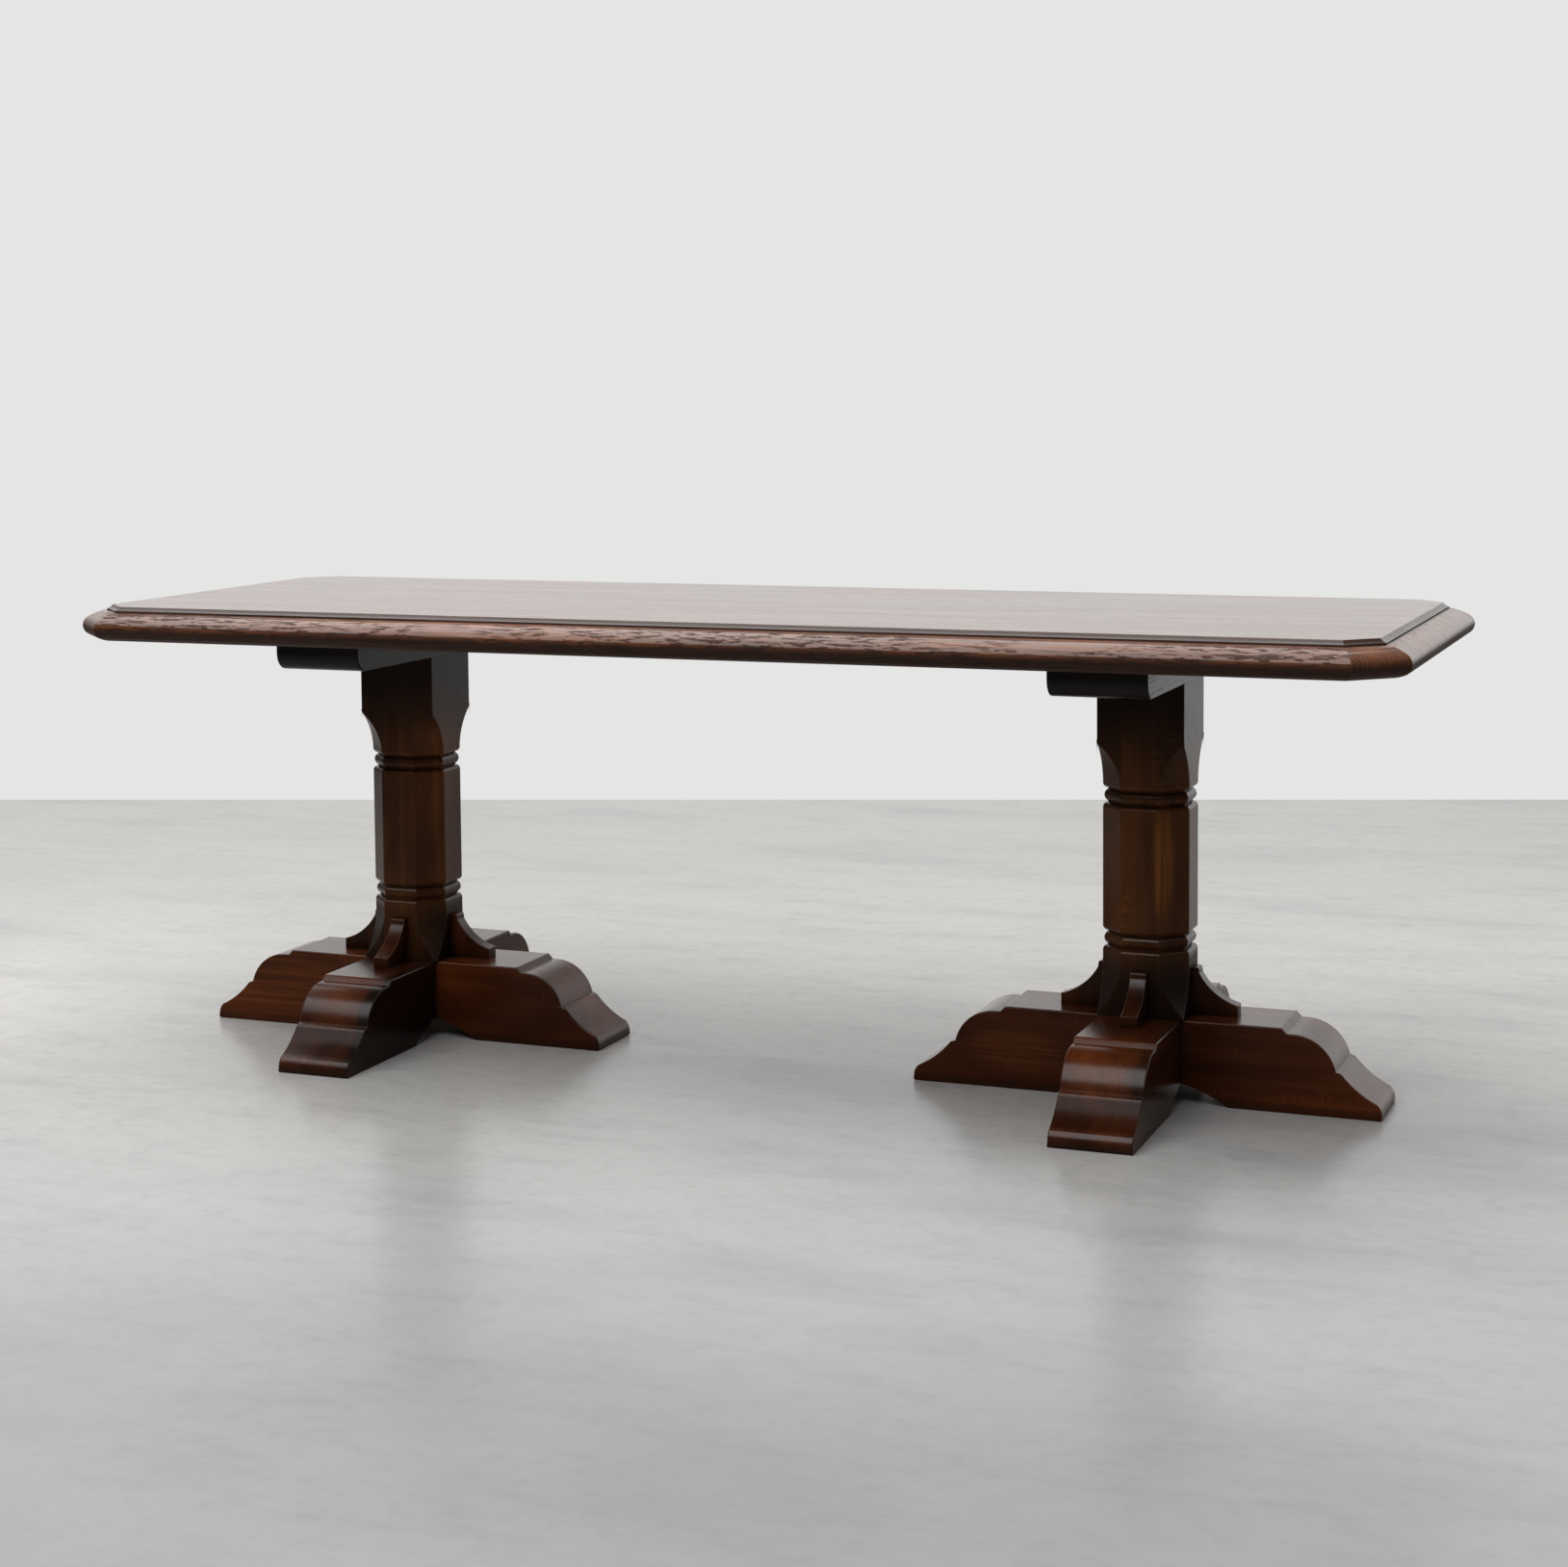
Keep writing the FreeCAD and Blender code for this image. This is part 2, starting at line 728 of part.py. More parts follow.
nail_pattern = nail()
screw_pattern = screw()
doc.recompute()
nails = keep("bracket_nails", group("nails", nail_pattern, nail_placements()))
screws = keep("bearer_screws", group("screws", screw_pattern, screw_placements()))

tongues = [keep(f"top_tongue_{number}", loose_tongue(number)) for number in range(1, BOARD_COUNT)]
let_in = doc.addObject("Part::Compound", "let_in")
let_in.Links = [*tongues, screws]
slab = moulded_slab()
for number in range(1, BOARD_COUNT + 1):
    keep(f"top_board_{number}", top_board(number, slab, let_in))

upper_mortise = size.foot_height - lap_height
lower_mortise = size.foot_tenon_length - upper_mortise + size.tenon_end_clearance
for side in SIDES:
    keep(f"bearer_{side}", bearer(side))
    keep(f"post_{side}", post(side))
    keep(f"long_sleeper_{side}", sleeper(
        "long_sleeper", side, 0, lap_height, size.foot_height + size.overrun, lap_height, lower_mortise))
    keep(f"cross_sleeper_{side}", sleeper(
        "cross_sleeper", side, 90, -size.overrun, lap_height, size.foot_height, upper_mortise))
    for place in BRACKET_AZIMUTHS[side]:
        keep(f"bracket_{side}_{place}", bracket(side, place))
doc.recompute()

# Every object must have built, and every sub-part must be sound, before any file is written
group_counts = {
    "bracket_nails": len(list(nail_placements())),
    "bearer_screws": len(list(screw_placements())),
}
for thing in doc.Objects:
    if "Invalid" in thing.State or "Error" in thing.State:
        raise RuntimeError(f"{thing.Label} did not build: {thing.State}")
for name, thing in nodes.items():
    shape = thing.Shape
    if shape.isNull() or not shape.isValid():
        raise RuntimeError(f"{name} is not a sound shape")
    if len(shape.Solids) != group_counts.get(name, 1):
        raise RuntimeError(f"{name} has {len(shape.Solids)} solids")

os.makedirs("parts", exist_ok=True)
for name, thing in nodes.items():
    thing.Shape.exportStep(f"parts/{name}.step")
    print(f"{name}: {thing.Shape.Volume / 1e6:.4f} litres, {len(thing.Shape.Faces)} faces")
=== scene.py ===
import math
from types import SimpleNamespace

import bmesh
import bpy
from mathutils import Euler, Matrix, Vector


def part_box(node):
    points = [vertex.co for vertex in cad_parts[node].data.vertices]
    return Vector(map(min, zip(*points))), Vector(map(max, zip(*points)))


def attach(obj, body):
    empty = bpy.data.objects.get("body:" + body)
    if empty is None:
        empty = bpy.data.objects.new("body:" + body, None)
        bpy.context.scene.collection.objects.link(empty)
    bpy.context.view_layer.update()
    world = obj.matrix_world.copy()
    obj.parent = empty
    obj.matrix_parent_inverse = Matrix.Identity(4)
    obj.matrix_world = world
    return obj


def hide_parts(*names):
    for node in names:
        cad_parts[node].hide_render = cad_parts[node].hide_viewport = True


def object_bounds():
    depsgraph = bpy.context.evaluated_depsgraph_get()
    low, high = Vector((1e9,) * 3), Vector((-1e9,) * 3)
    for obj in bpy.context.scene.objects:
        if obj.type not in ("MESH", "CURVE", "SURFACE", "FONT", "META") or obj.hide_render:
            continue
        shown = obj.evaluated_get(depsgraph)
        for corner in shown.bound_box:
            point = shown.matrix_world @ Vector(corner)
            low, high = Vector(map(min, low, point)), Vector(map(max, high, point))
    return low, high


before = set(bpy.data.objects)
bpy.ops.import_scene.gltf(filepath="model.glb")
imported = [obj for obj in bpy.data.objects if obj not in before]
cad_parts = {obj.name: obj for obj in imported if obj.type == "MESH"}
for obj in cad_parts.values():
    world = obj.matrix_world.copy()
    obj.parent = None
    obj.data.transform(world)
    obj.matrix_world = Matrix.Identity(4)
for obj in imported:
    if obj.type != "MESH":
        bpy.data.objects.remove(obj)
cad_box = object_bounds()

# Dining table in dark-stained oak: the boards of the top are planed anew with a smooth moulding, the
# pedestals get softened arrises, each piece of wood in sight gets oak with its own grain, and the fasteners
# get dark steel. Metres, +Z up, turns in degrees.

# The camera, found from the photograph: sizes in pixels of the whole picture
PICTURE_WIDTH = 1629
PICTURE_HEIGHT = 1628
FOCAL_PIXELS = 2909
AXIS_PIXEL = (770, 600)
CAMERA_PLACE = (1.6665, -4.2313, 1.1294)
CAMERA_YAW = -21.94
CAMERA_PITCH = 4.24
CAMERA_ROLL = -0.53
SENSOR_WIDTH = 36

# The moulded edge of the top, measured in from its nose and down from the field
CORNER_CLIP = 0.072
EDGE_REACH = 0.047
BEVEL_RUN = 0.009
BEVEL_DROP = 0.0065
BEVEL_HOLLOW_SHARES = (0.42, 0.65)
QUIRK_DROP = 0.002
SHOULDER_CROWN = 0.0019
NOSE_RADIUS = 0.017
NOSE_DROP = 0.0345
UNDER_RUN = 0.030
UNDER_CROWN = 0.0012
SHOULDER_TURN = 56
UNDERTURN = 55
NOSE_LAND_TURN = 4
BEVEL_STEPS = 7
SHOULDER_STEPS = 6
NOSE_STEPS = 7
UNDER_STEPS = 4
MOULDING_SMOOTH_TURN = 11.5
LEVEL_DIGITS = 5

BOARD_COUNT = 6
SIDES = {"left": -1, "right": 1}
BRACKET_PLACES = ("inner", "back", "outer", "front")

# Sizes that the frame gives
TOP_LEVEL = cad_box[1].z
TOP_THICKNESS = TOP_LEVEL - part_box("top_board_1")[0].z
BEARER_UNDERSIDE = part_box("bearer_left")[0].z
POST_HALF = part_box("post_left")[1].y
FOOT_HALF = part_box("long_sleeper_left")[1].y
FOOT_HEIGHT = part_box("long_sleeper_left")[1].z
FOOT_MIDDLE = FOOT_HEIGHT / 2

# Softened arrises of the pedestals
ARRIS_WIDTHS = {"bearer": 0.0015, "post": 0.0014, "sleeper": 0.0024, "bracket": 0.0013}
ARRIS_STEPS = 3
ROUND_PROFILE = 0.5
SHARP_TURN = 30
SMOOTH_TURN = 36
FLAT_TURN = 0.4
SHORTEST_ARRIS = 0.0006
UPRIGHT_SHARE = 0.4
BEARER_FLANK = 0.074
BEARER_END_RISE = 0.036
TOUCH = 0.0008
WELD_GAP = 1e-5
CUT_GAP = 1e-6


# Shader maths

class Signal:
    """A shader value that takes part in Python arithmetic."""

    def __init__(self, finish, socket):
        self.finish = finish
        self.socket = socket

    def maths(self, operation, *values):
        return self.finish.node("ShaderNodeMath", {"operation": operation}, dict(enumerate(values)))

    def __add__(self, other):
        return self.maths("ADD", self, other)

    def __radd__(self, other):
        return self.maths("ADD", other, self)

    def __sub__(self, other):
        return self.maths("SUBTRACT", self, other)

    def __rsub__(self, other):
        return self.maths("SUBTRACT", other, self)

    def __mul__(self, other):
        return self.maths("MULTIPLY", self, other)

    def __rmul__(self, other):
        return self.maths("MULTIPLY", other, self)

    def __truediv__(self, other):
        return self.maths("DIVIDE", self, other)

    def __abs__(self):
        return self.maths("ABSOLUTE", self)

    def part(self):
        """What is left over a whole number."""
        return self.maths("FRACT", self)

    def larger(self, other):
        return self.maths("MAXIMUM", self, other)

    def step(self, low, high):
        """0 below low, 1 above high and smooth between them."""
        return self.finish.node(
            "ShaderNodeMapRange", {"interpolation_type": "SMOOTHSTEP"},
            {"Value": self, "From Min": low, "From Max": high})

    def within(self, band):
        """1 inside a band, 0 outside it."""
        start, full, fade, end = band
        return self.step(start, full) * (1 - self.step(fade, end))


class Finish:
    """A node tree under construction: a material's or the world's."""

    def __init__(self, owner):
        owner.use_nodes = True
        self.owner = owner
        self.tree = owner.node_tree
        self.tree.nodes.clear()

    def node(self, kind, settings=None, sockets=None, output=0):
        made = self.tree.nodes.new(kind)
        for name, value in (settings or {}).items():
            if name == "stops":
                self.set_stops(made.color_ramp.elements, value)
            else:
                setattr(made, name, value)
        for key, value in (sockets or {}).items():
            if isinstance(value, Signal):
                self.tree.links.new(value.socket, made.inputs[key])
            else:
                made.inputs[key].default_value = value
        return Signal(self, made.outputs[output] if made.outputs else None)

    @staticmethod
    def set_stops(elements, stops):
        while len(elements) < len(stops):
            elements.new(1)
        for element, (place, shade) in zip(elements, stops):
            element.position = place
            element.color = (shade, shade, shade, 1)

    def vector(self, operation, *values, output=0):
        return self.node(
            "ShaderNodeVectorMath", {"operation": operation}, dict(enumerate(values)), output)

    def axes(self, place):
        """The three parts of a vector."""
        parts = self.node("ShaderNodeSeparateXYZ", {}, {"Vector": place}).socket.node.outputs
        return [Signal(self, part) for part in parts]

    def measure(self, place, heading):
        """How far a place lies along a heading."""
        return self.vector("DOT_PRODUCT", place, heading, output=1)

    def blend(self, share, first, last, mode="MIX"):
        """Mix two colours by a share."""
        return self.node(
            "ShaderNodeMix", {"data_type": "RGBA", "blend_type": mode}, {0: share, 6: first, 7: last}, 2)

    def noise(self, place, scale, detail, roughness, output=0):
        return self.node(
            "ShaderNodeTexNoise", {"noise_dimensions": "3D"},
            {"Vector": place, "Scale": scale, "Detail": detail, "Roughness": roughness}, output)

    def grain(self, log, kind, output=0):
        """Noise drawn out along the log."""
        along, across, detail, roughness = GRAIN[kind]
        place = self.vector("MULTIPLY", log, (along, across, across))
        return self.noise(place, 1.0, detail, roughness, output)

    def surface(self, sockets):
        shader = self.node("ShaderNodeBsdfPrincipled", {}, sockets)
        self.node("ShaderNodeOutputMaterial", {}, {"Surface": shader})


def colour(red, green, blue):
    return (red, green, blue, 1.0)


# Oak

# In each set of tones the darkest is the colour of pores and also of painted shade, and the arris tone is
# that of rubbed arrises and also of a painted highlight on them; the top's rubbed tone greys its field,
# partly for rubbing and partly as a painted sheen
TOP_TONES = SimpleNamespace(
    pore_and_shade=colour(0.024, 0.0125, 0.0095), summer=colour(0.235, 0.074, 0.0235),
    spring=colour(0.105, 0.035, 0.0145), fleck=colour(0.31, 0.108, 0.038),
    worn_and_sheen=colour(0.25, 0.10, 0.045), rubbed=colour(0.130, 0.078, 0.050))
BEARER_TONES = SimpleNamespace(
    pore_and_shade=colour(0.0035, 0.0032, 0.0028), summer=colour(0.0120, 0.0085, 0.0068),
    spring=colour(0.0070, 0.0058, 0.0048), fleck=colour(0.018, 0.0115, 0.0085),
    worn_and_sheen=colour(0.04, 0.026, 0.019))
POST_TONES = SimpleNamespace(
    pore_and_shade=colour(0.0050, 0.0036, 0.0026), summer=colour(0.106, 0.0335, 0.0080),
    spring=colour(0.056, 0.0180, 0.0050), fleck=colour(0.300, 0.105, 0.018),
    worn_and_sheen=colour(0.26, 0.13, 0.070))
FOOT_TONES = SimpleNamespace(
    pore_and_shade=colour(0.0062, 0.0036, 0.0026), summer=colour(0.112, 0.0268, 0.0064),
    spring=colour(0.055, 0.0134, 0.0036), fleck=colour(0.260, 0.072, 0.017),
    worn_and_sheen=colour(0.28, 0.14, 0.080))
BRACKET_TONES = SimpleNamespace(
    pore_and_shade=colour(0.0050, 0.0034, 0.0026), summer=colour(0.070, 0.0185, 0.0052),
    spring=colour(0.038, 0.0105, 0.0034), fleck=colour(0.130, 0.038, 0.011),
    worn_and_sheen=colour(0.28, 0.15, 0.090))
BARE_TONES = SimpleNamespace(
    pore_and_shade=colour(0.20, 0.12, 0.06), summer=colour(0.46, 0.31, 0.17), spring=colour(0.36, 0.23, 0.12),
    fleck=colour(0.55, 0.40, 0.24), worn_and_sheen=colour(0.50, 0.36, 0.22))

# Signs of the wood: how many lie in a metre along and across the log, and the detail and roughness of
# their noise
GRAIN = {
    "wander": (1.9, 6.0, 2.0, 0.5),
    "ripple": (14.0, 40.0, 1.0, 0.5),
    "jitter": (0.6, 45.0, 1.0, 0.5),
    "pores": (16.0, 620.0, 1.5, 0.6),
    "fibre": (5.0, 190.0, 3.0, 0.6),
    "streaks": (1.6, 55.0, 2.0, 0.55),
    "furrows": (34.0, 200.0, 2.0, 0.6),
    "furrow_zones": (5.0, 14.0, 1.0, 0.5),
    "ray_zones": (7.0, 22.0, 1.0, 0.5),
    "clouds": (2.4, 9.0, 3.0, 0.55),
}
RAY_FINENESS = (190.0, 46.0, 22.0)
RAY_DETAIL = (1.0, 0.5)

# The growth rings: how far they wander, and the share of spring wood from the start of a ring to its end
RING_DRIFTS = {"wander": 0.05, "ripple": 0.006}
RING_TAPER = 0.009
RING_JITTER_SHARE = 0.9
SPRING_STOPS = ((0.0, 0.0), (0.07, 1.0), (0.30, 0.75), (0.62, 0.08), (1.0, 0.0))

# Where each sign starts to show and shows in full
SHOWS = SimpleNamespace(
    pores=(0.52, 0.66), fibre=(0.46, 0.70), streaks=(0.50, 0.72), rays=(0.56, 0.70),
    ray_zones=(0.52, 0.66), furrows=(0.52, 0.57), furrow_zones=(0.30, 0.48), end_grain=(0.15, 0.45),
    open_fibre=(0.44, 0.60), open_streaks=(0.42, 0.62), arris=(0.006, 0.09), free_arris=(0.62, 0.86),
    arris_clouds=(0.34, 0.60), corners=(0.30, 0.85), overhang=(-0.25, 0.62), polish=(-0.05, 0.50),
    hollow=(0.25, 0.60), patch=(0.35, 1.0))

# How much of each sign shows; a second share grows with the figure of the piece, or in thin stain with
# its fibre
SHARES = SimpleNamespace(
    summer_pores=0.25, rays=0.35, fibre=(0.15, 0.4), furrows=0.7, streaks=(0.12, 0.44), field=0.35,
    thin=(0.55, 0.8), hollow_shade=0.65)
UNPOLISHED_SHARES = SimpleNamespace(pores=0.2, streaks=0.13, fibre=0.11)
ROUGH_SHARES = SimpleNamespace(spring=0.12, pores=0.10, clouds=0.10, soot=0.2)
CLOUD_STOPS = ((0.30, 0.34), (0.50, 0.90), (0.70, 1.75))
ARRIS_REACH = 0.0022
ARRIS_SAMPLES = 4
CORNER_REACH = 0.035
CORNER_SAMPLES = 6
FURROW_DEPTH = 2
VARNISH_IOR = 1.6
NOISE_MIDDLE = 0.5

# Bands of height where the wood is darker, partly as painted shade, or the polish duller: each starts, is
# full, fades and ends
FIELD_LEVEL = (TOP_LEVEL - 0.0012, TOP_LEVEL - 0.0002)
QUIRK_LEVEL = (TOP_LEVEL - 0.0098, TOP_LEVEL - 0.0088)
# Painted shade in the hollow of the bevel and the quirk below the field of the top
EDGE_BAND = (*QUIRK_LEVEL, *FIELD_LEVEL)
# Painted shade on the heads of the posts, under the top
HEAD_SHADE_BAND = (0.45, 0.62, 0.80, 0.81)
ANKLE_BAND = (-0.02, -0.01, 0.18, 0.28)
POST_FOOT_BAND = (0.10, 0.12, 0.215, 0.228)
# Darker towards the bottom of the feet
FOOT_BOTTOM_BAND = (-0.02, -0.01, 0.008, 0.024)
# The cove of the feet: the polish is duller there and shade is painted in it
HOLLOW_BAND = (0.024, 0.030, 0.061, 0.067)
UPPER_BEAD = 0.468
LOWER_BEAD = 0.2445
BEAD_OFFSETS = (-0.016, -0.011, 0.011, 0.016)
UPPER_BEAD_BAND = tuple(UPPER_BEAD + offset for offset in BEAD_OFFSETS)
LOWER_BEAD_BAND = tuple(LOWER_BEAD + offset for offset in BEAD_OFFSETS)

# Where the staining is thinner, and darker patches, most of them painted shade: the place from the middle
# of the piece, the reach along each axis, and the share
THIN_STAIN = {
    "post_left": ((0.0, -POST_HALF, -0.19), (0.09, 0.05, 0.11), 0.12),
    "post_right": ((0.036, -POST_HALF, 0.0), (0.022, 0.04, 0.12), 0.50),
    "long_sleeper_left": ((-0.25, -FOOT_HALF, 0.0), (0.20, 0.04, 0.09), 0.32),
    "long_sleeper_right": ((-0.20, -FOOT_HALF, 0.0), (0.11, 0.04, 0.05), 0.25),
}
# Painted shade on the right flank of a cross sleeper, which faces away from the lamp
RIGHT_FLANK = ((FOOT_HALF, -0.2, 0.0), (0.035, 0.36, 0.16))
# Painted shadow of the top on the front arm of a cross sleeper, before the post
BEFORE_POST = ((0.0, -0.12, FOOT_MIDDLE), (0.10, 0.11, 0.03))
DARK_PATCHES = {
    "cross_sleeper_left": ((*RIGHT_FLANK, 0.92), (*BEFORE_POST, 0.55)),
    "cross_sleeper_right": ((*RIGHT_FLANK, 0.62), (*BEFORE_POST, 0.55)),
    # Darker on the front of the left long sleeper, right of its middle
    "long_sleeper_left": (((0.22, -FOOT_HALF, 0.0), (0.25, 0.03, 0.10), 0.35),),
}


def worked(**ways):
    """How a kind of surface was worked: relief in metres, the rest as shares."""
    plain = {
        "ring_relief": 0.0, "brushed": 0.0, "under": 0.3, "matt_under": 0.0, "bands": (), "dull": (),
        "matt": ()}
    return SimpleNamespace(**{**plain, **ways})


# Each way of working also sets how much shade is painted in corners, on what faces down (under), in bands
# and in hollows, and how much lighter the arrises are painted, partly as rubbed and partly as a painted
# highlight
BRUSHED_TOP = worked(
    ring_width=0.0062, ring_relief=0.00020, pore_relief=0.00010, roughness=0.30, gloss=0.15, coat=1.0,
    coat_roughness=0.12, figure=0.75, pores=0.85, clouds=0.30, soot=0.6, wear=0.2, brushed=0.95,
    under=0.9, matt_under=0.35, bands=((EDGE_BAND, 0.82),), dull=((EDGE_BAND, 0.36),))
GLOSSY_FOOT = worked(
    ring_width=0.0055, pore_relief=0.00001, roughness=0.19, gloss=0.10, coat=0.62, coat_roughness=0.26,
    figure=0.12, pores=0.12, clouds=1.0, soot=0.9, wear=0.75, bands=((FOOT_BOTTOM_BAND, 0.6),))
DULL_FOOT = worked(**{**vars(GLOSSY_FOOT), "dull": ((HOLLOW_BAND, 0.85),)})
SATIN_POST = worked(
    ring_width=0.0060, pore_relief=0.00001, roughness=0.21, gloss=0.10, coat=0.65, coat_roughness=0.24,
    figure=0.14, pores=0.12, clouds=1.0, soot=0.9, wear=0.5,
    bands=((HEAD_SHADE_BAND, 0.9), (ANKLE_BAND, 0.9), (UPPER_BEAD_BAND, 0.5), (LOWER_BEAD_BAND, 0.45)),
    matt=((POST_FOOT_BAND, 0.25),))
BLACK_BEARER = worked(
    ring_width=0.0055, pore_relief=0.00002, roughness=0.21, gloss=0.12, coat=0.6, coat_roughness=0.25,
    figure=0.4, pores=0.5, clouds=0.7, soot=0.8, wear=0.2)
SAWN_TONGUE = worked(
    ring_width=0.0042, ring_relief=0.00006, pore_relief=0.00012, roughness=0.7, gloss=0.3, coat=0.0,
    coat_roughness=0.3, figure=0.85, pores=0.8, clouds=0.6, soot=0.3, wear=0.0, under=0.0)

GRAIN_TURNS = {
    "X": Euler((0, 0, 0)),
    "Y": Euler((0, 0, math.radians(-90))),
    "Z": Euler((0, math.radians(90), 0)),
}


def lie_of(wood, spot):
    """How a place lies: its height, how far it faces up or to an end, and what stands near it."""
    true_normal = wood.node("ShaderNodeNewGeometry", output="Normal")
    to_end, _, facing_up = wood.axes(true_normal)
    soft_normal = wood.node("ShaderNodeBevel", {"samples": ARRIS_SAMPLES}, {"Radius": ARRIS_REACH})
    open_sky = wood.node(
        "ShaderNodeAmbientOcclusion", {"samples": CORNER_SAMPLES}, {"Distance": CORNER_REACH}, "AO")
    turn = 1 - wood.vector("DOT_PRODUCT", soft_normal, true_normal, output=1)
    return SimpleNamespace(
        spot=spot, level=wood.axes(spot)[2], to_end=abs(to_end), facing_up=facing_up,
        soft_normal=soft_normal, open_sky=open_sky, arris=turn.step(*SHOWS.arris))


def growth(wood, log, work):
    """Growth rings that wander about the heart and taper along the log."""
    grown = log
    for kind, drift in RING_DRIFTS.items():
        swing = wood.vector("SUBTRACT", wood.grain(log, kind, output=1), (NOISE_MIDDLE,) * 3)
        grown = wood.vector("ADD", grown, wood.vector("MULTIPLY", swing, (0.0, drift, drift)))
    across = wood.vector("MULTIPLY", grown, (0.0, 1.0, 1.0))
    reach = wood.vector("LENGTH", across, output=1)
    along = wood.axes(log)[0]
    ring = (reach + along * RING_TAPER) / work.ring_width
    ring = ring + RING_JITTER_SHARE * wood.grain(log, "jitter")
    spring = wood.node("ShaderNodeValToRGB", {"stops": SPRING_STOPS}, {"Fac": ring.part()})
    return SimpleNamespace(along=along, across=across, reach=reach, spring=spring)


def ray_fleck(wood, log, rings):
    """Rays shine where the cut runs through the heart."""
    _, depth, height = wood.axes(rings.across)
    bearing = height.maths("ARCTAN2", height, depth)
    along, out, about = RAY_FINENESS
    place = wood.node(
        "ShaderNodeCombineXYZ", {}, {0: rings.along * along, 1: rings.reach * out, 2: bearing * about})
    rays = wood.noise(place, 1.0, *RAY_DETAIL).step(*SHOWS.rays)
    return rays * wood.grain(log, "ray_zones").step(*SHOWS.ray_zones)


def brushed_furrows(wood, log, lie, work):
    """The wire brush took the soft wood out in short furrows, more in some places than in others."""
    furrow = wood.grain(log, "furrows").step(*SHOWS.furrows)
    furrow = furrow * wood.grain(log, "furrow_zones").step(*SHOWS.furrow_zones) * work.brushed
    return furrow * (1 - lie.level.step(*QUIRK_LEVEL)) * (1 - lie.to_end.step(*SHOWS.end_grain))


def grain_of(wood, log, lie, work):
    """What the log shows; pores are short dark dashes, thick in the spring wood."""
    rings = growth(wood, log, work)
    pores = wood.grain(log, "pores").step(*SHOWS.pores)
    pores = pores * (SHARES.summer_pores + (1 - SHARES.summer_pores) * rings.spring)
    return SimpleNamespace(
        spring=rings.spring, pores=pores, fibre=wood.grain(log, "fibre"),
        streaks=wood.grain(log, "streaks"), clouds=wood.grain(log, "clouds"),
        rays=ray_fleck(wood, log, rings), furrows=brushed_furrows(wood, log, lie, work))


def patch(wood, spot, middle, spread):
    """A soft round patch on a piece."""
    offset, reach, share = spread
    away = wood.vector("DIVIDE", wood.vector("SUBTRACT", spot, middle + Vector(offset)), reach)
    return (1 - wood.vector("LENGTH", away, output=1).step(*SHOWS.patch)) * share


def hollow(lie, band):
    """What faces up inside a band of heights."""
    return lie.level.within(band) * lie.facing_up.step(*SHOWS.hollow)


def shade_and_stain_of(wood, node, middle, lie, grain, work):
    """Painted shade in corners, on what faces down, in hollows and in patches; bands that are darker by
    height; and patches of thinner staining.
    """
    # Painted shade: darker where other surfaces stand near, in corners and hollows
    sooty = (1 - lie.open_sky.step(*SHOWS.corners)) * work.soot
    # Painted shade: darker on what faces down, most of all under the edge of the top
    underside_shade = (1 - lie.facing_up.step(*SHOWS.overhang)) * work.under
    dark = sooty.larger(underside_shade)
    # Darker bands by height: painted shade on the heads of the posts and in the bevel of the top; the
    # others are darker over the beads, the ankles and the bottom of the feet
    for band, share in work.bands:
        dark = dark.larger(lie.level.within(band) * share)
    # Painted shade in hollows that face up, in the bands where the polish is duller
    for band, share in work.dull:
        dark = dark.larger(hollow(lie, band) * (share * SHARES.hollow_shade))
    # Darker patches: mostly painted shade on flanks and painted shadow of the top
    for spread in DARK_PATCHES.get(node, ()):
        dark = dark.larger(patch(wood, lie.spot, middle, spread))
    thin = None
    if node in THIN_STAIN:
        least, more = SHARES.thin
        thin = patch(wood, lie.spot, middle, THIN_STAIN[node])
        thin = thin * (least + more * grain.fibre.step(*SHOWS.open_fibre))
    return SimpleNamespace(sooty=sooty, underside_shade=underside_shade, dark=dark, thin=thin)


def polish_of(lie, grain, work):
    """Polish lies on what faces up, and less in furrows, open grain and the bands where it is duller."""
    polish = lie.facing_up.step(*SHOWS.polish) * (1 - grain.furrows)
    polish = polish * (1 - grain.pores * UNPOLISHED_SHARES.pores) * work.coat
    open_grain = grain.streaks.step(*SHOWS.open_streaks) * UNPOLISHED_SHARES.streaks
    open_grain = open_grain + grain.fibre.step(*SHOWS.open_fibre) * UNPOLISHED_SHARES.fibre
    polish = polish * (1 - open_grain)
    for band, share in work.dull:
        polish = polish * (1 - hollow(lie, band) * share)
    return polish


def figured(shares, work):
    """A share that grows with the figure of the piece."""
    least, more = shares
    return least + more * work.figure


